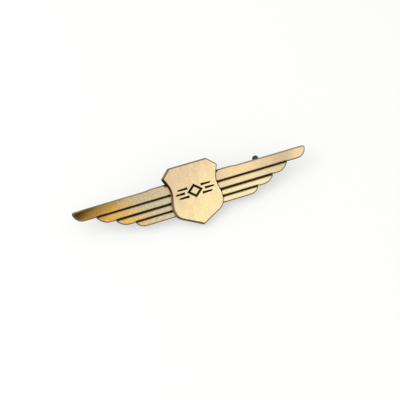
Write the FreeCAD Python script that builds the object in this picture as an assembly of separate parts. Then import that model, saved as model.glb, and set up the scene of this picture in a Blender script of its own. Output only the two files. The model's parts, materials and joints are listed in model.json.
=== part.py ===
import FreeCAD, Part
import math
import os

from FreeCAD import Vector

# Pilot wings pin: a cast pair of wings with a raised shield, and a hinged pin with a turning
# safety catch on the back. Millimetres. The badge is drawn flat, with x along the wings,
# y up the face and z out of the face from the flat back, and is then laid on a table, where
# it leans on the shield's point, the hinge bracket and the catch.

# Wings
HALF_SPAN = 38.1
BASE_THICK = 0.85          # casting under the feathers
WING_THICK = 1.30          # back to the feathers' top faces
FEATHER_EDGE_R = 0.30      # rounding of the feathers' top edges
TIP_CORNER_R = 0.75        # upper corner of the wing tip
TOP_Y = 3.72               # top edge of the outer wing
ROOT_TOP_Y = 3.96          # top edge beside the shield
ROOT_STEP_X = (12.5, 15.5)  # where the top edge eases from one to the other
# Each feather: x of its tip, y of its top and underside, y under its tip, radius of the tip's arc
FEATHERS = (
    (HALF_SPAN, TOP_Y, 0.40, 0.20, 3.2),
    (31.3, 0.18, -2.14, -2.34, 4.4),
    (25.75, -2.46, -4.39, -4.64, 4.2),
    (20.15, -4.61, -6.58, -6.58, 3.1),
)
GROOVES = ("upper", "middle", "lower")
GROOVE_END_STEP = (-0.3, 0.5)  # from the next tip: where a feather's underside starts and ends its drop
FILL_THICK = 0.20          # dark infill on each groove's floor
FILL_END_GAP = 0.12

# Shield
SHIELD_THICK = 1.30        # shield plate, on top of the wing casting
SHIELD_TOP = WING_THICK + SHIELD_THICK
SHIELD_EDGE_R = 0.70
SHIELD_CORNER = (6.10, 8.48)
SHIELD_SHOULDER = (9.02, 5.70)
SHIELD_SIDE = ((8.28, 4.00), (7.52, 1.10), (8.20, -3.20), (8.06, -5.40))
SHIELD_HIP = (6.25, -7.92)
SHIELD_POINT_Y = -11.20
SHOULDER_R = 0.60
SEAT_SCALE = 0.995         # the casting behind the shield is this much smaller

# Emblem: a lozenge ring between three tapering bars each side
EMBLEM_Y = -0.25
EMBLEM_DEPTH = 0.25
EMBLEM_RECESS = 0.03       # the enamel lies this much below the shield's face
LOZENGE = (2.60, 2.20)     # half width and half height
LOZENGE_LINE = 0.75
EMBLEM_BARS = ((2.15, 5.15), (3.25, 6.05), (2.15, 5.15))  # start and end of each, from the top down
EMBLEM_BAR_PITCH = 1.30
EMBLEM_BAR_LINE = 0.80
EMBLEM_BAR_TAPER = 0.65    # a bar's width at its end, over its width at its start
EMBLEM_BAR_POINT = 0.35

# Pin bar
BAR_Y = 1.3                # height of the bar and the pin on the back
BAR_HALF = 25.4
BAR_WIDTH = 4.0
BAR_THICK = 0.7
BAR_CORNER_R = 1.6
PAD_MARGIN = 0.3           # the casting's raised pad is this much larger than the bar
PAD_THICK = 0.3
PAD_BACK = -PAD_THICK
BAR_BACK = PAD_BACK - BAR_THICK

# Rivets
RIVET_R = 0.60
RIVET_HEAD_R = 1.00
BAR_RIVET_X = 12.0
BAR_RIVET_HEAD = 0.40
BAR_RIVET_EDGE_R = 0.30
BAR_RIVET_DEPTH = 0.80     # into the casting, from its flat back
SHIELD_RIVET_Y = (5.9, -7.6)
SHIELD_RIVET_HEAD = 0.45
SHIELD_RIVET_TOP = WING_THICK + 0.6

# Hinge
PIN_Z = -4.90              # axis of the closed pin
HINGE_X = -22.0
EAR_INNER = 0.75           # half the gap between the ears
EAR_OUTER = 1.35
BRACKET_HALF = 2.3
BRACKET_BASE = 0.6
BRACKET_FOLD_R = 0.35
PIVOT_R = 0.45
PIVOT_HEAD_R = 0.80
PIVOT_HEAD = 0.35
PIVOT_EDGE_R = 0.25

# Pin stem
STEM_R = 0.50
STEM_EYE_R = 1.15
STEM_EYE_HALF = 0.65
STEM_EYE_EDGE_R = 0.15
STEM_NECK_R = 0.62
STEM_NECK_END = HINGE_X + 2.3
STEM_TAPER_X = 17.0
STEM_TIP_X = 25.6
STEM_TIP_R = 0.07
RUNNING_GAP = 0.05

# Safety catch
CATCH_X = 23.15
CATCH_HALF = 1.8
CATCH_R = 1.90
SLEEVE_R = 1.30
SLEEVE_BORE_R = 0.75
HOUSING_SLOT = 1.3
SLEEVE_SLOT = 1.2
LEVER_HALF = 0.60
LEVER_THICK = 0.70
LEVER_WINDOW_HALF = 0.75
KNOB_START = 2.00          # from the pin's axis to the knob's flat inner end
KNOB_CENTRE = 2.30
KNOB_R = 1.00
KNOB_THICK = 1.10
KNOB_EDGE_R = 0.40
PEDESTAL_HALF = (1.5, 1.05)
FOOT_HALF = (1.8, 1.7)
FOOT_THICK = 0.5

# The tilt on the table: the catch's round underside and the shield's point touch it together
SEAT_POINT_Y = SHIELD_POINT_Y * SEAT_SCALE
LEVER_ARM = BAR_Y - SEAT_POINT_Y
TILT = math.atan2(-PIN_Z, LEVER_ARM) + math.asin(CATCH_R / math.hypot(PIN_Z, LEVER_ARM))
EAR_R = (BAR_Y - EAR_OUTER - SEAT_POINT_Y) * math.tan(TILT) + PIN_Z

X_AXIS = Vector(1, 0, 0)


def v(x, y, z=0.0):
    return Vector(x, y, z)


def line(a, b):
    return Part.LineSegment(a, b).toShape()


def prism(edges, z_low, z_high):
    """A solid between two heights, from the edges of a closed outline."""
    face = Part.Face(Part.Wire(Part.__sortEdges__(edges)))
    solid = face.extrude(v(0, 0, z_high - z_low))
    solid.translate(v(0, 0, z_low))
    return solid


def polygon(points, z_low, z_high):
    corners = [v(*p) for p in points]
    edges = [line(a, b) for a, b in zip(corners, corners[1:] + corners[:1])]
    return prism(edges, z_low, z_high)


def block(x, y, z):
    """A box from its (low, high) pair on each axis."""
    size = [high - low for low, high in (x, y, z)]
    return Part.makeBox(*size, v(x[0], y[0], z[0]))


def rod(radius, start, end):
    return Part.makeCylinder(radius, (end - start).Length, start, end - start)


def mirrored(shape):
    return shape.mirror(v(0, 0, 0), X_AXIS)


def both_sides(shape):
    return shape.fuse(mirrored(shape))


def edges_where(shape, test):
    """The edges whose every vertex passes a test."""
    return [e for e in shape.Edges if all(test(p.Point) for p in e.Vertexes)]


def at_height(z):
    return lambda p: abs(p.z - z) < 1e-4


# Wings


def root_step():
    """The gentle S in the top edge of the wing."""
    inner, outer = ROOT_STEP_X
    middle = (inner + outer) / 2
    curve = Part.BezierCurve()
    curve.setPoles([v(outer, TOP_Y), v(middle, TOP_Y), v(middle, ROOT_TOP_Y), v(inner, ROOT_TOP_Y)])
    return curve.toShape()


def lower_tip(x_tip, y_top, y_low, radius):
    """The end of a feather below the topmost: an arc from its underside to its top corner."""
    y_centre = y_low + radius
    x_centre = x_tip - math.sqrt(radius**2 - (y_centre - y_top) ** 2)
    start, end = v(x_centre, y_low), v(x_tip, y_top)
    return [circle_arc(v(x_centre, y_centre), radius, start, end)], start, end


def wing_tip(x_tip, y_top, y_low, radius):
    """The end of the topmost feather: an arc from its underside, and a small round at its top corner."""
    corner_y = y_top - TIP_CORNER_R
    y_centre = y_low + radius
    offset = math.sqrt((radius - TIP_CORNER_R) ** 2 - (y_centre - corner_y) ** 2)
    corner = v(x_tip - TIP_CORNER_R, corner_y)
    centre = v(corner.x - offset, y_centre)
    meet = centre + (corner - centre).normalize() * radius
    start, end = v(centre.x, y_low), corner + v(0, TIP_CORNER_R)
    arcs = [circle_arc(centre, radius, start, meet), circle_arc(corner, TIP_CORNER_R, meet, end)]
    return arcs, start, end


def circle_arc(centre, radius, start, end):
    """The shorter arc of a circle between two of its points."""
    middle = centre + ((start + end) / 2 - centre).normalize() * radius
    return Part.Arc(start, middle, end).toShape()


def top_edge(start, widest):
    """Top edge of a feather, from its tip to the shield's middle."""
    if not widest:
        return [line(start, v(0, start.y))]
    inner, outer = ROOT_STEP_X
    return [
        line(start, v(outer, TOP_Y)),
        root_step(),
        line(v(inner, ROOT_TOP_Y), v(0, ROOT_TOP_Y)),
    ]


def feather_outline(index):
    """Outline of one feather of the right wing."""
    x_tip, y_top, y_low, y_tip_low, radius = FEATHERS[index]
    widest = index == 0
    make_tip = wing_tip if widest else lower_tip
    tip, tip_low, tip_top = make_tip(x_tip, y_top, y_tip_low, radius)
    under = [v(0, ROOT_TOP_Y if widest else y_top), v(0, y_low)]
    if index < len(GROOVES):
        inner, outer = (FEATHERS[index + 1][0] + step for step in GROOVE_END_STEP)
        under += [v(inner, y_low), v(outer, y_tip_low)]
    under.append(tip_low)
    return tip + top_edge(tip_top, widest) + [line(a, b) for a, b in zip(under, under[1:])]


def groove_box(index, z_low, z_high):
    """The space of one groove of the right wing, between two heights."""
    below = FEATHERS[index + 1]
    return block((0, below[0] - FILL_END_GAP), (below[1], FEATHERS[index][2]), (z_low, z_high))


def rounded_feather(index):
    """One raised feather with a rounded top edge."""
    solid = prism(feather_outline(index), 0, WING_THICK)
    root = edges_where(solid, lambda p: abs(p.x) < 1e-4)
    rim = [e for e in edges_where(solid, at_height(WING_THICK)) if not any(e.isSame(r) for r in root)]
    return solid.makeFillet(FEATHER_EDGE_R, rim)


def right_wing():
    wing = rounded_feather(0)
    for index in range(1, len(FEATHERS)):
        wing = wing.fuse(rounded_feather(index))
    for index in range(len(GROOVES)):
        wing = wing.fuse(groove_box(index, 0, BASE_THICK))
    return wing


# Shield


def shield_half():
    """Right half of the shield's outline, from the middle of its top to its point."""
    corner, shoulder = v(*SHIELD_CORNER), v(*SHIELD_SHOULDER)
    hip, point = v(*SHIELD_HIP), v(0, SHIELD_POINT_Y)
    side = Part.BSplineCurve()
    middle = [v(*p) for p in SHIELD_SIDE]
    start = middle[0] - shoulder
    end = point - hip
    side.interpolate(Points=[shoulder] + middle + [hip], InitialTangent=start, FinalTangent=end)
    return [line(v(0, corner.y), corner), line(corner, shoulder), side.toShape(), line(hip, point)]


def shield_prism(z_low, z_high, scale=1.0):
    """The shield's outline, rounded at its shoulders, between two heights."""
    half = prism(shield_half() + [line(v(0, SHIELD_POINT_Y), v(0, SHIELD_CORNER[1]))], 0, 1)
    whole = both_sides(half).removeSplitter()
    shoulders = [
        e
        for e in whole.Edges
        if all(abs(abs(p.X) - SHIELD_SHOULDER[0]) < 1e-3 and p.Y > 5 for p in e.Vertexes)
    ]
    whole = whole.makeFillet(SHOULDER_R, shoulders)
    face = next(f for f in whole.Faces if f.normalAt(0, 0).z > 0.99 and abs(f.CenterOfMass.z - 1) < 1e-4)
    wire = face.OuterWire
    wire.translate(v(0, 0, -1))
    wire.scale(scale)
    solid = Part.Face(wire).extrude(v(0, 0, z_high - z_low))
    solid.translate(v(0, 0, z_low))
    return solid


def shield_rivets():
    rivets = []
    for y in SHIELD_RIVET_Y:
        shank = rod(RIVET_R, v(0, y, 0), v(0, y, SHIELD_RIVET_TOP))
        head = Part.makeCone(RIVET_HEAD_R, RIVET_R, SHIELD_RIVET_HEAD, v(0, y, 0))
        rivets.append(shank.fuse(head).removeSplitter())
    return rivets


# Emblem


def lozenge(half_width, half_height, z_low, z_high):
    points = [(half_width, 0), (0, half_height), (-half_width, 0), (0, -half_height)]
    solid = polygon(points, z_low, z_high)
    solid.translate(v(0, EMBLEM_Y, 0))
    return solid


def emblem_lozenge(z_high):
    """The lozenge ring in the middle."""
    z_low = SHIELD_TOP - EMBLEM_DEPTH
    half_width, half_height = LOZENGE
    side = math.hypot(half_width, half_height)
    inner_width = half_width - LOZENGE_LINE * side / half_height
    inner_height = half_height - LOZENGE_LINE * side / half_width
    hole = lozenge(inner_width, inner_height, z_low, z_high)
    return lozenge(half_width, half_height, z_low, z_high).cut(hole)


def emblem_bars(z_high):
    """The three tapering bars on the right of the lozenge."""
    z_low = SHIELD_TOP - EMBLEM_DEPTH
    half = EMBLEM_BAR_LINE / 2
    tapered = half * EMBLEM_BAR_TAPER
    bars = []
    for row, (start, end) in enumerate(EMBLEM_BARS):
        y = EMBLEM_Y + (1 - row) * EMBLEM_BAR_PITCH
        upper = [(end + EMBLEM_BAR_POINT, y), (end, y + tapered), (start, y + half)]
        lower = [(start, y - half), (end, y - tapered)]
        bars.append(polygon(upper + lower, z_low, z_high))
    return bars


# Pin bar and its fixings


def slab(half_length, width, z_low, z_high, corner_r):
    box = block((-half_length, half_length), (BAR_Y - width / 2, BAR_Y + width / 2), (z_low, z_high))
    upright = [e for e in box.Edges if abs(e.tangentAt(e.FirstParameter).z) > 0.99]
    return box.makeFillet(corner_r, upright)


def bar_rivets():
    rivets = []
    for x in (-BAR_RIVET_X, BAR_RIVET_X):
        shank = rod(RIVET_R, v(x, BAR_Y, BAR_BACK), v(x, BAR_Y, BAR_RIVET_DEPTH))
        head = rod(RIVET_HEAD_R, v(x, BAR_Y, BAR_BACK - BAR_RIVET_HEAD), v(x, BAR_Y, BAR_BACK))
        rim = edges_where(head, at_height(BAR_BACK - BAR_RIVET_HEAD))
        rivets.append(shank.fuse(head.makeFillet(BAR_RIVET_EDGE_R, rim)).removeSplitter())
    return rivets


def hinge_bracket():
    """A folded strip: a base on the bar and an ear on each side of the stem."""
    base_back = BAR_BACK - BRACKET_BASE
    across = (BAR_Y - EAR_OUTER, BAR_Y + EAR_OUTER)
    along = (HINGE_X - BRACKET_HALF, HINGE_X + BRACKET_HALF)
    body = block(along, across, (base_back, BAR_BACK))
    for side in (-1, 1):
        faces = sorted(BAR_Y + side * y for y in (EAR_INNER, EAR_OUTER))
        ear = block((HINGE_X - EAR_R, HINGE_X + EAR_R), faces, (PIN_Z, BAR_BACK))
        low, high = (v(HINGE_X, y, PIN_Z) for y in faces)
        body = body.fuse(ear).fuse(rod(EAR_R, low, high))
    body = body.removeSplitter()
    folds = [e for e in body.Edges if is_fold(e)]
    body = body.makeFillet(BRACKET_FOLD_R, folds)
    hole = rod(PIVOT_R, v(HINGE_X, across[0], PIN_Z), v(HINGE_X, across[1], PIN_Z))
    return body.cut(hole)


def is_fold(edge):
    """Whether an edge is one of the bracket's two long outer edges against the bar."""
    return all(
        abs(p.Z - BAR_BACK) < 1e-4 and abs(abs(p.Y - BAR_Y) - EAR_OUTER) < 1e-4 for p in edge.Vertexes
    )


def hinge_rivet():
    reach = EAR_OUTER + PIVOT_HEAD
    rivet = rod(PIVOT_R, v(HINGE_X, BAR_Y - EAR_OUTER, PIN_Z), v(HINGE_X, BAR_Y + EAR_OUTER, PIN_Z))
    for side in (-1, 1):
        inner, outer = BAR_Y + side * EAR_OUTER, BAR_Y + side * reach
        head = rod(PIVOT_HEAD_R, v(HINGE_X, inner, PIN_Z), v(HINGE_X, outer, PIN_Z))
        rim = edges_where(head, lambda p: abs(p.y - outer) < 1e-4)
        rivet = rivet.fuse(head.makeFillet(PIVOT_EDGE_R, rim))
    return rivet.removeSplitter()


# Pin stem


def pin_stem():
    """An eye on the hinge rivet, a neck, a straight shaft and a long point."""
    neck_x = HINGE_X + STEM_EYE_R - STEM_EYE_EDGE_R
    radii = {neck_x: STEM_NECK_R, STEM_NECK_END: STEM_R, STEM_TAPER_X: STEM_R, STEM_TIP_X: STEM_TIP_R}
    points = [v(x, BAR_Y, PIN_Z + r) for x, r in radii.items()]
    start, end = v(neck_x, BAR_Y, PIN_Z), v(STEM_TIP_X, BAR_Y, PIN_Z)
    edges = [line(a, b) for a, b in zip(points, points[1:])]
    edges += [line(start, points[0]), line(points[-1], end), line(end, start)]
    shaft = Part.Face(Part.Wire(Part.__sortEdges__(edges))).revolve(start, X_AXIS, 360)
    low, high = (v(HINGE_X, BAR_Y + side * STEM_EYE_HALF, PIN_Z) for side in (-1, 1))
    eye = rod(STEM_EYE_R, low, high)
    eye = eye.makeFillet(STEM_EYE_EDGE_R, [e for e in eye.Edges if len(e.Vertexes) == 1])
    return eye.fuse(shaft).cut(rod(PIVOT_R + RUNNING_GAP, low, high))


# Safety catch


def tube(outer_r, inner_r):
    """A tube round the closed pin's axis, as long as the catch."""
    start, end = (v(CATCH_X + side * CATCH_HALF, BAR_Y, PIN_Z) for side in (-1, 1))
    return rod(outer_r, start, end).cut(rod(inner_r, start, end))


def entry_slot(width):
    """The way in for the pin, from below."""
    along = (CATCH_X - 2 * CATCH_HALF, CATCH_X + 2 * CATCH_HALF)
    return block(along, (BAR_Y - width / 2, BAR_Y + width / 2), (PIN_Z - 2 * CATCH_R, PIN_Z))


def catch_housing():
    bore_r = SLEEVE_R + RUNNING_GAP
    x_half, y_half = PEDESTAL_HALF
    pedestal = block(
        (CATCH_X - x_half, CATCH_X + x_half), (BAR_Y - y_half, BAR_Y + y_half), (PIN_Z, BAR_BACK)
    )
    x_half, y_half = FOOT_HALF
    foot = block(
        (CATCH_X - x_half, CATCH_X + x_half),
        (BAR_Y - y_half, BAR_Y + y_half),
        (BAR_BACK - FOOT_THICK, BAR_BACK),
    )
    body = pedestal.fuse(foot).fuse(tube(CATCH_R, bore_r))
    ends = (v(CATCH_X - 2 * CATCH_HALF, BAR_Y, PIN_Z), v(CATCH_X + 2 * CATCH_HALF, BAR_Y, PIN_Z))
    body = body.cut(rod(bore_r, *ends)).cut(entry_slot(HOUSING_SLOT))
    window = block(
        (CATCH_X - LEVER_WINDOW_HALF, CATCH_X + LEVER_WINDOW_HALF),
        (BAR_Y, BAR_Y + 2 * CATCH_R),
        (PIN_Z - 2 * CATCH_R, PIN_Z + LEVER_THICK / 2 + 0.15),
    )
    return body.cut(window).removeSplitter()


def catch_sleeve():
    """A slotted sleeve with a lever that ends in a knob."""
    body = tube(SLEEVE_R, SLEEVE_BORE_R).cut(entry_slot(SLEEVE_SLOT))
    half = LEVER_THICK / 2
    along = (CATCH_X - LEVER_HALF, CATCH_X + LEVER_HALF)
    lever = block(along, (BAR_Y + SLEEVE_R - 0.2, BAR_Y + KNOB_CENTRE), (PIN_Z - half, PIN_Z + half))
    return body.fuse(lever).fuse(catch_knob()).removeSplitter()


def catch_knob():
    """A thick disc with rounded rims, cut flat towards the sleeve."""
    centre = v(CATCH_X, BAR_Y + KNOB_CENTRE, PIN_Z)
    half = v(0, 0, KNOB_THICK / 2)
    disc = rod(KNOB_R, centre - half, centre + half)
    disc = disc.makeFillet(KNOB_EDGE_R, [e for e in disc.Edges if len(e.Vertexes) == 1])
    along = (CATCH_X - KNOB_R, CATCH_X + KNOB_R)
    across = (PIN_Z - KNOB_THICK / 2, PIN_Z + KNOB_THICK / 2)
    return disc.cut(block(along, (BAR_Y, BAR_Y + KNOB_START), across))


# Assembly


def build():
    """Every piece, flat, as node name to list of solids."""
    seat = shield_prism(0, WING_THICK, SEAT_SCALE)
    pad = slab(BAR_HALF + PAD_MARGIN, BAR_WIDTH + 2 * PAD_MARGIN, PAD_BACK, 0, BAR_CORNER_R + PAD_MARGIN)
    wings = both_sides(right_wing()).fuse(seat).fuse(pad)
    shield = shield_prism(WING_THICK, SHIELD_TOP)
    shield = shield.makeFillet(SHIELD_EDGE_R, edges_where(shield, at_height(SHIELD_TOP)))
    bar = slab(BAR_HALF, BAR_WIDTH, BAR_BACK, PAD_BACK, BAR_CORNER_R)
    for rivet in shield_rivets():
        wings = wings.cut(rivet)
        shield = shield.cut(rivet)
    for rivet in bar_rivets():
        wings = wings.cut(rivet)
        bar = bar.cut(rivet)
    shield = shield.cut(emblem_lozenge(SHIELD_TOP))
    for recess in emblem_bars(SHIELD_TOP):
        shield = shield.cut(recess).cut(mirrored(recess))
    enamel_top = SHIELD_TOP - EMBLEM_RECESS
    bars = emblem_bars(enamel_top)
    wings = wings.removeSplitter()
    pieces = {
        "wing_plate": [wings],
        "shield_plate": [shield],
        "shield_rivets": shield_rivets(),
        "emblem_centre": [emblem_lozenge(enamel_top)],
        "emblem_right": bars,
        "emblem_left": [mirrored(b) for b in bars],
        "pin_bar": [bar],
        "bar_rivets": bar_rivets(),
        "hinge_bracket": [hinge_bracket()],
        "hinge_rivet": [hinge_rivet()],
        "pin_stem": [pin_stem()],
        "catch_housing": [catch_housing()],
        "catch_sleeve": [catch_sleeve()],
    }
    for index, name in enumerate(GROOVES):
        fill = groove_box(index, BASE_THICK, BASE_THICK + FILL_THICK).cut(wings)
        pieces["right_" + name + "_fill"] = [fill]
        pieces["left_" + name + "_fill"] = [mirrored(fill)]
    return pieces


def lay_on_table(pieces):
    """Tilt every piece about the wings' line, and set the whole on z = 0 under its middle."""
    for solids in pieces.values():
        for solid in solids:
            solid.rotate(v(0, 0, 0), X_AXIS, math.degrees(TILT))
    box = Part.makeCompound([s for solids in pieces.values() for s in solids]).optimalBoundingBox(False)
    shift = v(-box.Center.x, -box.Center.y, -box.ZMin)
    for solids in pieces.values():
        for solid in solids:
            solid.translate(shift)


def main():
    os.makedirs("parts", exist_ok=True)
    pieces = build()
    lay_on_table(pieces)
    for name, solids in pieces.items():
        shape = solids[0] if len(solids) == 1 else Part.makeCompound(solids)
        shape.exportStep("parts/" + name + ".step")
        print(name, round(shape.Volume, 2), shape.isValid(), len(shape.Solids))


main()
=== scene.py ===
import json
import math

import bpy
from mathutils import Matrix, Vector

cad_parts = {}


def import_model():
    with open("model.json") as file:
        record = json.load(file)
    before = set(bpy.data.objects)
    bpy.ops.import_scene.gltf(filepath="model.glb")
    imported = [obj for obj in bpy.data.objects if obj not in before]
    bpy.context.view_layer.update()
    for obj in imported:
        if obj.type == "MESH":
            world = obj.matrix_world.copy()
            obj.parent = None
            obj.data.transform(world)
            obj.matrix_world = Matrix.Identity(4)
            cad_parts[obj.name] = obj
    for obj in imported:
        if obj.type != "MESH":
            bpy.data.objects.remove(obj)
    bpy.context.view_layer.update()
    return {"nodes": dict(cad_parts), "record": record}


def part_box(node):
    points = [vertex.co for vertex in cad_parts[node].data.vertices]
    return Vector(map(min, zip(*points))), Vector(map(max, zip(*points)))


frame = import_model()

MM = 0.001

# The badge's own frame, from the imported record: x along the wings, y up the face, z out of it.
# The record gives a point of the wings' flat back, which lies at this (x, y) of the badge.
BACK = next(m for m in frame["record"]["mounts"] if m["name"] == "wing_back")
BACK_AT = (-30.0 * MM, 1.5 * MM)
ALONG = Vector((1, 0, 0))
FACE_OUT = -Vector(BACK["axis"]).normalized()
UP_FACE = FACE_OUT.cross(ALONG).normalized()
ORIGIN = Vector(BACK["pos_m"]) - ALONG * BACK_AT[0] - UP_FACE * BACK_AT[1]
HALF_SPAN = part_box("wing_plate")[1][0] / MM

# Where the polished face looks, tipped a little to the right so that roundings facing right keep
# the bright face tone as a painted highlight and those facing left take patina sooner as painted
# shade; and the ways that walls darkened with painted shade face
POLISHED_AND_LIT_FROM = (FACE_OUT + 0.08 * ALONG).normalized()
SHOULDER_SHADOW_FACING = (-0.92 * ALONG - 0.40 * UP_FACE).normalized()
LOWER_LEFT = (-0.80 * ALONG - 0.60 * UP_FACE).normalized()
LOWER_RIGHT = (0.5 * ALONG - 0.87 * UP_FACE).normalized()

# Camera, at the photograph's viewing angle (degrees, metres and a lens in mm)
CAMERA_AZIMUTH = -24.13
CAMERA_ELEVATION = 62.24
CAMERA_ROLL = 5.03
CAMERA_DISTANCE = 0.300
CAMERA_AIM = Vector((0, -0.00004, 0.00402))
CAMERA_LENS = 86.88
CAMERA_SHIFT = (0.0129, -0.0085)

# Floor, lamp and sky, set for a near-white background
FLOOR_SIZE = 2.4
FLOOR_COLOUR = (0.33, 0.33, 0.327)
FLOOR_GLOW_COLOUR = (1.0, 1.0, 0.985)
FLOOR_GLOW = 0.495
KEY_PLACE = (-0.50, 0.02, 0.65)
KEY_SIZE = (0.75, 0.6)
KEY_POWER = 5.0
SKY_SIDE = (0.75, -0.15, 0.60)      # towards the sky's bright side

# Settings of the materials
PLATING_SPECULAR = 0.05
ENAMEL_SPECULAR = 0.10
BRUSH_DEPTH = 0.003                 # of the brush and drawing marks, in mm
ENAMEL_DEPTH = 0.02
BUMP_STRENGTH = 0.3
OCCLUSION_SAMPLES = 12


def srgb(red, green, blue):
    """Linear colour of a display colour given in 0 to 255."""
    channels = (red / 255, green / 255, blue / 255)
    return tuple(c / 12.92 if c <= 0.04045 else ((c + 0.055) / 1.055) ** 2.4 for c in channels)


# Middles of the topmost feather and of the three grooves, up the badge, in mm
TOP_FEATHER_Y = 1.95
GROOVES_Y = (0.27, -2.36, -4.53)

# Tones of the plating and its patina, of painted shade and shadow, and of the fittings' darker
# hollows
GOLD = srgb(247, 191, 98)
STONE = srgb(216, 199, 166)
CHAMPAGNE = srgb(232, 207, 166)
CREAM = srgb(243, 216, 168)
PALE_CREAM = srgb(246, 234, 186)
DULL_STONE = srgb(208, 190, 152)
PATINA = srgb(112, 98, 75)
# Patina darkened as painted shade, for walls that face down or right
PATINA_IN_SHADE = srgb(82, 68, 43)
TIP_PATINA = srgb(152, 142, 122)
# Painted shadow under the shield's left shoulder
SHOULDER_SHADOW_BLACK = srgb(30, 20, 10)
# Painted shade in hollows and painted shadow where the wings meet the shield and beside the
# shield's foot on the right
PAINTED_DEEP_SHADE = srgb(20, 12, 5)
CLOUD_TINT = srgb(254, 243, 235)
REDDER_TINT = srgb(254, 246, 246)
GREENER_TINT = srgb(246, 255, 246)
SHIELD_UPPER = srgb(223, 200, 163)
SHIELD_LOWER = srgb(246, 227, 174)
FITTINGS_HOLLOW_DARK = srgb(28, 25, 22)

# Tone of the wings' faces from the left tip to the right one, by distance along the wings in mm;
# partly the plating's own tone and partly painted reflection, which differs between the left and
# the right wing
WING_TONES = (
    (-37.5, GOLD),
    (-31.0, GOLD),
    (-27.0, srgb(244, 196, 102)),
    (-24.0, srgb(238, 196, 122)),
    (-21.0, srgb(233, 201, 145)),
    (-18.0, STONE),
    (-12.0, STONE),
    (9.0, CHAMPAGNE),
    (13.5, CREAM),
    (19.5, CREAM),
    (28.0, DULL_STONE),
    (31.0, DULL_STONE),
    (34.5, srgb(238, 211, 168)),
)
# Painted shade on the wings' faces, darkest at the left tip's top, along a line that runs from the
# left tip's top towards the lower right
WING_PAINTED_SHADES = (
    (-38.0, 0.075),
    (-36.0, 0.145),
    (-33.0, 0.32),
    (-30.0, 0.415),
    (-27.0, 0.535),
    (-24.0, 0.685),
    (-20.0, 0.79),
    (-12.0, 0.875),
    (-3.0, 0.90),
    (5.0, 0.95),
)


# Node helpers


def new_material(name):
    material = bpy.data.materials.new(name)
    material.use_nodes = True
    tree = material.node_tree
    return material, tree, tree.nodes["Principled BSDF"]


def plug(tree, value, socket):
    """Links an output to a socket, or sets a number or a colour on it."""
    if isinstance(value, bpy.types.NodeSocket):
        tree.links.new(value, socket)
    elif isinstance(value, tuple) and len(socket.default_value) == 4:
        socket.default_value = (*value, 1)
    else:
        socket.default_value = value


def add(tree, kind, inputs=(), **settings):
    """A node with its settings and its inputs, given as (socket, value) pairs."""
    node = tree.nodes.new(kind)
    for key, value in settings.items():
        setattr(node, key, value)
    for socket, value in inputs:
        plug(tree, value, node.inputs[socket])
    return node


def maths(tree, operation, *values):
    node = add(tree, "ShaderNodeMath", enumerate(values), operation=operation)
    return node.outputs["Value"]


def dot(tree, vector, axis):
    inputs = ((0, vector), (1, tuple(axis)))
    return add(tree, "ShaderNodeVectorMath", inputs, operation="DOT_PRODUCT").outputs["Value"]


def product(tree, first, *others):
    for other in others:
        first = maths(tree, "MULTIPLY", first, other)
    return first


def greatest(tree, first, *others):
    for other in others:
        first = maths(tree, "MAXIMUM", first, other)
    return first


def span(tree, value, low, high, to_low=0.0, to_high=1.0):
    """A smooth step of a value from one pair of limits to another."""
    inputs = ((0, value), (1, low), (2, high), (3, to_low), (4, to_high))
    return add(tree, "ShaderNodeMapRange", inputs, interpolation_type="SMOOTHSTEP").outputs[0]


def ramp(tree, value, stops):
    """A colour ramp from (position, colour) pairs, with positions from 0 to 1."""
    node = add(tree, "ShaderNodeValToRGB", (("Fac", value),))
    elements = node.color_ramp.elements
    while len(elements) < len(stops):
        elements.new(1.0)
    for element, (position, colour) in zip(elements, stops):
        element.position = position
        element.color = (*colour, 1)
    return node.outputs["Color"]


def mix(tree, factor, a, b, blend="MIX"):
    inputs = ((0, factor), (6, a), (7, b))
    return add(tree, "ShaderNodeMix", inputs, data_type="RGBA", blend_type=blend).outputs[2]


def scaled(tree, colour, factor):
    inputs = ((0, colour), ("Scale", factor))
    return add(tree, "ShaderNodeVectorMath", inputs, operation="SCALE").outputs["Vector"]


def noise(tree, vector, scale, detail=3.0, roughness=0.55):
    inputs = (("Vector", vector), ("Scale", scale), ("Detail", detail), ("Roughness", roughness))
    return add(tree, "ShaderNodeTexNoise", inputs).outputs["Fac"]


def bump(tree, shader, height, depth):
    """Bumps of a depth in mm, from a height of 0 to 1."""
    inputs = (("Height", height), ("Distance", depth * MM), ("Strength", BUMP_STRENGTH))
    plug(tree, add(tree, "ShaderNodeBump", inputs).outputs["Normal"], shader.inputs["Normal"])


class BadgePoint:
    """The shaded point in the badge's own frame, in millimetres."""

    def __init__(self, tree):
        self.tree = tree
        place = add(tree, "ShaderNodeTexCoord").outputs["Object"]
        inputs = ((0, place), (1, tuple(ORIGIN)))
        offset = add(tree, "ShaderNodeVectorMath", inputs, operation="SUBTRACT").outputs["Vector"]
        axes = (ALONG, UP_FACE, FACE_OUT)
        self.x, self.y, self.z = (dot(tree, offset, axis / MM) for axis in axes)

    def stretched(self, x=1.0, y=1.0, z=1.0):
        """The point's vector with each axis times a factor."""
        factors = ((self.x, x), (self.y, y), (self.z, z))
        parts = [maths(self.tree, "MULTIPLY", value, factor) for value, factor in factors]
        return add(self.tree, "ShaderNodeCombineXYZ", enumerate(parts)).outputs["Vector"]


def turned_from(tree, axis, low, high):
    """1 where the surface turns away from an axis, between two limits of the angle's cosine."""
    normal = add(tree, "ShaderNodeTexCoord").outputs["Normal"]
    return span(tree, dot(tree, normal, axis), low, high, 1.0, 0.0)


def turned_to(tree, axis, low, high):
    """1 where the surface turns towards an axis, between two limits of the angle's cosine."""
    return turned_from(tree, -axis, -high, -low)


def shut_in(tree, distance):
    """How much stands round the point within a distance in mm."""
    inputs = (("Distance", distance * MM),)
    node = add(tree, "ShaderNodeAmbientOcclusion", inputs, samples=OCCLUSION_SAMPLES)
    return maths(tree, "SUBTRACT", 1.0, node.outputs["AO"])


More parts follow.
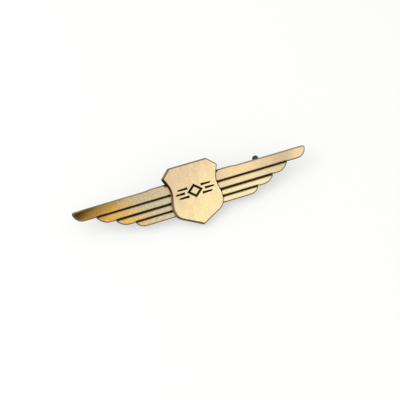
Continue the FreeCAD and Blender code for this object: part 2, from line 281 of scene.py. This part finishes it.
def rim(tree, point, reach):
    """1 at an edge of the surface's own piece, fading to 0 within a reach in mm.

    It is a little wider on the right of the badge.
    """
    inputs = (("Distance", reach * MM),)
    settings = {"samples": OCCLUSION_SAMPLES, "inside": True, "only_local": True}
    node = add(tree, "ShaderNodeAmbientOcclusion", inputs, **settings)
    full = span(tree, point.x, -6.0, 6.0, 0.82, 0.85)
    clear = span(tree, point.x, -6.0, 6.0, 0.95, 0.97)
    return span(tree, node.outputs["AO"], full, clear, 1.0, 0.0)


# Materials


def wing_edge(tree, point):
    """1 on the casting's walls and roundings and along its rims, where patina lies, and on walls
    facing the lower right as painted shade; 0 on its faces.
    """
    rounding = turned_from(tree, POLISHED_AND_LIT_FROM, 0.86, 0.97)
    # Walls facing the lower right are darkened as painted shade
    lower_right_shade = turned_to(tree, LOWER_RIGHT, 0.02, 0.12)
    return greatest(tree, rounding, lower_right_shade, rim(tree, point, 0.48))


def beside_feathers(tree, point):
    """1 on the foot of the shield's wall where it stands on a feather, and 0 on the rest."""
    low = span(tree, point.z, 1.65, 2.05, 1.0, 0.0)
    below_top = span(tree, point.y, 3.0, 3.6, 1.0, 0.0)
    foot = product(tree, low, below_top, span(tree, point.y, -6.6, -6.0))
    for middle in GROOVES_Y:
        away = maths(tree, "ABSOLUTE", maths(tree, "SUBTRACT", point.y, middle))
        foot = product(tree, foot, span(tree, away, 0.25, 0.45))
    return foot


def shield_edge(tree, point):
    """1 on the shield's wall and rounding, with walls facing the lower left as painted shade, and 0
    on its face and along its foot beside the feathers.
    """
    rounding = turned_from(tree, POLISHED_AND_LIT_FROM, 0.85, 0.95)
    # Walls facing the lower left are darkened as painted shade
    rounding = greatest(tree, rounding, turned_to(tree, LOWER_LEFT, 0.05, 0.22))
    foot_without_patina = product(tree, beside_feathers(tree, point), 0.92)
    return product(tree, rounding, maths(tree, "SUBTRACT", 1.0, foot_without_patina))


def under_shoulder(tree, point):
    """Painted shadow: 1 on the walls under the shield's left shoulder, and less on those further
    down.
    """
    facing = turned_to(tree, SHOULDER_SHADOW_FACING, 0.05, 0.25)
    below_shoulder = span(tree, point.y, 5.6, 6.3, 1.0, 0.0)
    return product(tree, facing, below_shoulder, span(tree, point.y, -4.5, 3.5))


def patina(tree, point, shoulder_shadow):
    """Patina, greyer at the left tip, darkened on the lower and right walls as painted shade, and
    black under the shield's left shoulder as a painted shadow.
    """
    # Walls facing down or right take the darker patina as painted shade
    downward, rightward = turned_to(tree, -UP_FACE, 0.0, 0.5), turned_to(tree, ALONG, 0.1, 0.6)
    shaded = greatest(tree, downward, rightward)
    tone = mix(tree, shaded, PATINA, PATINA_IN_SHADE)
    tone = mix(tree, span(tree, point.x, -36.5, -33.0, 1.0, 0.0), tone, TIP_PATINA)
    return mix(tree, shoulder_shadow, tone, SHOULDER_SHADOW_BLACK)


def plated(name, tone, edge_of, brush, roughness, hollow):
    """Brushed antique plating: a polished tone on the face and patina on walls and edges, with
    painted shade in hollows and painted shadows under the shield's left shoulder, where the wings'
    tops meet the shield and at the feet of walls on the right.

    tone and edge_of are functions of the tree and the badge point, and edge_of is 1 where patina
    is left, brush is the stretch of the brush lines, and hollow how dark the painted shade in its
    hollows is.
    """
    material, tree, shader = new_material(name)
    point = BadgePoint(tree)
    lines = noise(tree, point.stretched(*brush), 1.0, 2.0)
    clouds = noise(tree, point.stretched(), 0.9, 5.0, 0.65)
    specks = noise(tree, point.stretched(), 1.7, 1.0)
    colour = tone(tree, point)
    colour = scaled(tree, colour, span(tree, lines, 0.25, 0.75, 0.94, 1.04))
    colour = mix(tree, span(tree, clouds, 0.35, 0.7), colour, CLOUD_TINT, "MULTIPLY")
    colour = scaled(tree, colour, span(tree, clouds, 0.3, 0.7, 0.96, 1.05))
    colour = scaled(tree, colour, span(tree, specks, 0.3, 0.7, 0.95, 1.05))
    # Painted shadow under the shield's left shoulder
    edge, shoulder_shadow = edge_of(tree, point), under_shoulder(tree, point)
    colour = mix(tree, edge, colour, patina(tree, point, shoulder_shadow))
    shut = shut_in(tree, 1.2)
    # Painted shade in hollows, and painted shadows where the wings' tops meet the shield and at the
    # feet of walls on the right
    recess_shade = product(tree, edge, span(tree, shut, 0.04, 0.22, 0.0, hollow))
    contact_shadow = product(tree, span(tree, shut, 0.08, 0.20), span(tree, point.y, 2.6, 3.7))
    right_seam_shadow = product(tree, span(tree, shut, 0.31, 0.44), span(tree, point.x, 0.0, 4.0, 0.0, 0.8))
    colour = mix(tree, greatest(tree, recess_shade, contact_shadow, right_seam_shadow), colour, PAINTED_DEEP_SHADE)
    plug(tree, colour, shader.inputs["Base Color"])
    rough = maths(tree, "MULTIPLY_ADD", lines, 0.14, roughness - 0.07)
    rough = maths(tree, "MULTIPLY_ADD", edge, 0.12, rough)
    plug(tree, rough, shader.inputs["Roughness"])
    bare = span(tree, edge, 0.0, 1.0, 1.0, 0.3)
    bare = product(tree, bare, span(tree, shoulder_shadow, 0.0, 1.0, 1.0, 0.0))
    plug(tree, bare, shader.inputs["Metallic"])
    shader.inputs["Specular IOR Level"].default_value = PLATING_SPECULAR
    bump(tree, shader, lines, BRUSH_DEPTH)
    return material


def along_wings(tree, distance, tones):
    """The tone at a distance along the wings, from (distance, tone) pairs in mm."""
    place = maths(tree, "MULTIPLY_ADD", distance, 0.5 / HALF_SPAN, 0.5)
    return ramp(tree, place, [(0.5 + 0.5 * x / HALF_SPAN, tone) for x, tone in tones])


def wing_tone(tree, point):
    """Gold at the left tip, stone beside the shield and cream on the right, partly painted
    reflection, with painted shade darkening the left tip's top.
    """
    drift = noise(tree, point.stretched(0.16, 0.5, 0.5), 1.0, 3.0)
    along = maths(tree, "MULTIPLY_ADD", drift, 5.0, maths(tree, "SUBTRACT", point.x, 2.5))
    below = maths(tree, "SUBTRACT", point.y, TOP_FEATHER_Y)
    lean = product(tree, below, span(tree, point.x, -12.0, 12.0, 0.5, 0.0))
    # Tone along the wings, partly painted reflection
    colour = along_wings(tree, maths(tree, "ADD", along, lean), WING_TONES)
    yellow = product(tree, span(tree, below, -1.0, -6.5), span(tree, point.x, 0.0, 12.0))
    colour = mix(tree, yellow, colour, PALE_CREAM)
    slope = maths(tree, "MULTIPLY_ADD", below, -2.4, along)
    # Painted shade, darkest at the left tip's top
    painted_shades = [(x, (grey,) * 3) for x, grey in WING_PAINTED_SHADES]
    colour = mix(tree, 1.0, colour, along_wings(tree, slope, painted_shades), "MULTIPLY")
    left = span(tree, point.x, -14.0, -8.0, 1.0, 0.0)
    return mix(tree, left, colour, grained(tree, point, colour))


def grained(tree, point, colour):
    """A coarser grain, with greener and redder spots."""
    grain = noise(tree, point.stretched(1.7, 2.3), 1.0, 2.0)
    spots = noise(tree, point.stretched(1.1, 1.4), 1.0, 1.0)
    tint = mix(tree, span(tree, spots, 0.35, 0.65), REDDER_TINT, GREENER_TINT)
    colour = mix(tree, 1.0, colour, tint, "MULTIPLY")
    return scaled(tree, colour, span(tree, grain, 0.3, 0.7, 0.88, 1.16))


def shield_tone(tree, point):
    """Champagne at the shield's upper left, and a warmer cream towards its point and its right."""
    slope = maths(tree, "MULTIPLY_ADD", point.x, -0.9, point.y)
    drift = noise(tree, point.stretched(0.3, 0.14, 0.3), 1.0, 3.0)
    slope = maths(tree, "MULTIPLY_ADD", drift, 5.0, maths(tree, "SUBTRACT", slope, 2.5))
    colour = mix(tree, span(tree, slope, 11.0, -9.5), SHIELD_UPPER, SHIELD_LOWER)
    streaks = noise(tree, point.stretched(0.8, 0.15, 0.3), 1.0, 2.0)
    return scaled(tree, colour, span(tree, streaks, 0.35, 0.65, 0.95, 1.03))


def enamel(name, dark, light, patches):
    """Hard dark infill with faint paler patches."""
    material, tree, shader = new_material(name)
    point = BadgePoint(tree)
    clouds = noise(tree, point.stretched(*patches), 1.0, 3.0)
    plug(tree, mix(tree, span(tree, clouds, 0.4, 0.75), dark, light), shader.inputs["Base Color"])
    plug(tree, span(tree, clouds, 0.3, 0.7, 0.40, 0.55), shader.inputs["Roughness"])
    shader.inputs["Specular IOR Level"].default_value = ENAMEL_SPECULAR
    bump(tree, shader, clouds, ENAMEL_DEPTH)
    return material


def plain_metal(name, colour, worn, roughness, brush):
    """Bare, plated or blackened metal with drawing marks."""
    material, tree, shader = new_material(name)
    point = BadgePoint(tree)
    lines = noise(tree, point.stretched(*brush), 1.0, 3.0)
    clouds = noise(tree, point.stretched(), 1.1, 4.0)
    tone = mix(tree, span(tree, clouds, 0.35, 0.7), colour, worn)
    # Darker where other surfaces stand within 0.5 mm
    hollow = product(tree, span(tree, shut_in(tree, 0.5), 0.2, 0.7), 0.6)
    tone = mix(tree, hollow, tone, FITTINGS_HOLLOW_DARK)
    plug(tree, tone, shader.inputs["Base Color"])
    plug(tree, maths(tree, "MULTIPLY_ADD", lines, 0.2, roughness - 0.1), shader.inputs["Roughness"])
    shader.inputs["Metallic"].default_value = 1.0
    bump(tree, shader, lines, BRUSH_DEPTH)
    return material


def assign(node, material):
    piece = frame["nodes"][node]
    for slot in piece.material_slots:
        slot.material = material
    if not piece.material_slots:
        piece.data.materials.append(material)


def dress_frame():
    wingward, upward, all_ways = (0.35, 22, 8), (22, 0.35, 8), (5, 5, 5)
    wings = plated("wing_bronze", wing_tone, wing_edge, wingward, 0.34, 1.0)
    shield = plated("shield_bronze", shield_tone, shield_edge, upward, 0.38, 0.35)
    bar = plain_metal("bar_bronze", srgb(176, 148, 98), srgb(146, 116, 70), 0.40, wingward)
    rivets = plain_metal("rivet_bronze", srgb(176, 148, 98), srgb(146, 116, 70), 0.34, all_ways)
    fittings = plain_metal("gunmetal", srgb(126, 120, 108), srgb(98, 92, 82), 0.38, all_ways)
    stem = plain_metal("stem_steel", srgb(206, 203, 198), srgb(176, 173, 168), 0.28, (0.4, 20, 20))
    lever = plain_metal("lever_gunmetal", srgb(98, 90, 78), srgb(66, 60, 50), 0.42, all_ways)
    groove = enamel("groove_enamel", srgb(14, 8, 3), srgb(52, 43, 26), (1.6, 0.6, 0.6))
    black = enamel("emblem_enamel", srgb(9, 5, 3), srgb(22, 14, 9), (1.5, 1.5, 1.5))
    looks = {
        "wing_plate": wings,
        "shield_plate": shield,
        "shield_rivets": rivets,
        "pin_bar": bar,
        "bar_rivets": rivets,
        "hinge_bracket": fittings,
        "hinge_rivet": fittings,
        "catch_housing": fittings,
        "pin_stem": stem,
        "catch_sleeve": lever,
    }
    for name in frame["nodes"]:
        default = groove if name.endswith("_fill") else black
        assign(name, looks.get(name, default))


# Floor, light and camera


def floor():
    size = FLOOR_SIZE / 2
    mesh = bpy.data.meshes.new("floor")
    corners = [(-size, -size, 0), (size, -size, 0), (size, size, 0), (-size, size, 0)]
    mesh.from_pydata(corners, [], [(0, 1, 2, 3)])
    obj = bpy.data.objects.new("floor", mesh)
    bpy.context.scene.collection.objects.link(obj)
    material, _, shader = new_material("floor_white")
    shader.inputs["Base Color"].default_value = (*FLOOR_COLOUR, 1)
    shader.inputs["Roughness"].default_value = 0.9
    shader.inputs["Specular IOR Level"].default_value = 0.1
    shader.inputs["Emission Color"].default_value = (*FLOOR_GLOW_COLOUR, 1)
    shader.inputs["Emission Strength"].default_value = FLOOR_GLOW
    mesh.materials.append(material)


def key_light():
    """A soft lamp aimed at the badge, which leaves no mirror image of itself in the plating."""
    data = bpy.data.lights.new("key", "AREA")
    data.shape = "RECTANGLE"
    data.size, data.size_y = KEY_SIZE
    data.energy = KEY_POWER
    obj = bpy.data.objects.new("key", data)
    obj.location = KEY_PLACE
    obj.rotation_euler = (-Vector(KEY_PLACE)).to_track_quat("-Z", "Y").to_euler()
    obj.visible_glossy = False
    bpy.context.scene.collection.objects.link(obj)


def world():
    """A pale studio, brighter overhead on the right than on the left."""
    data = bpy.data.worlds.new("studio")
    data.use_nodes = True
    tree = data.node_tree
    direction = add(tree, "ShaderNodeTexCoord").outputs["Generated"]
    side = dot(tree, direction, Vector(SKY_SIDE).normalized())
    height = dot(tree, direction, (0, 0, 1))
    wash = span(tree, side, -0.2, 0.9, 0.83, 1.14)
    overhead = maths(tree, "ADD", wash, span(tree, side, 0.85, 1.0, 0.0, 0.4))
    weight = span(tree, height, 0.15, 0.45)
    strength = add(tree, "ShaderNodeMix", ((0, weight), (2, 1.0), (3, overhead))).outputs[0]
    plug(tree, strength, tree.nodes["Background"].inputs["Strength"])
    plug(tree, (1.0, 1.0, 1.0), tree.nodes["Background"].inputs["Color"])
    bpy.context.scene.world = data


def camera():
    azimuth, elevation = math.radians(CAMERA_AZIMUTH), math.radians(CAMERA_ELEVATION)
    level = math.cos(elevation)
    back = Vector((math.sin(azimuth) * level, -math.cos(azimuth) * level, math.sin(elevation)))
    right = Vector((math.cos(azimuth), math.sin(azimuth), 0))
    roll = Matrix.Rotation(math.radians(CAMERA_ROLL), 3, back)
    right, up = roll @ right, roll @ back.cross(right)
    data = bpy.data.cameras.new("camera")
    data.lens = CAMERA_LENS
    data.sensor_width = 36
    data.clip_start = 0.01
    data.shift_x, data.shift_y = CAMERA_SHIFT
    obj = bpy.data.objects.new("camera", data)
    turn = Matrix((right, up, back)).transposed().to_4x4()
    obj.matrix_world = Matrix.Translation(CAMERA_AIM + back * CAMERA_DISTANCE) @ turn
    bpy.context.scene.collection.objects.link(obj)
    bpy.context.scene.camera = obj


bpy.context.scene.view_settings.view_transform = "Standard"
camera()
floor()
world()
key_light()
dress_frame()
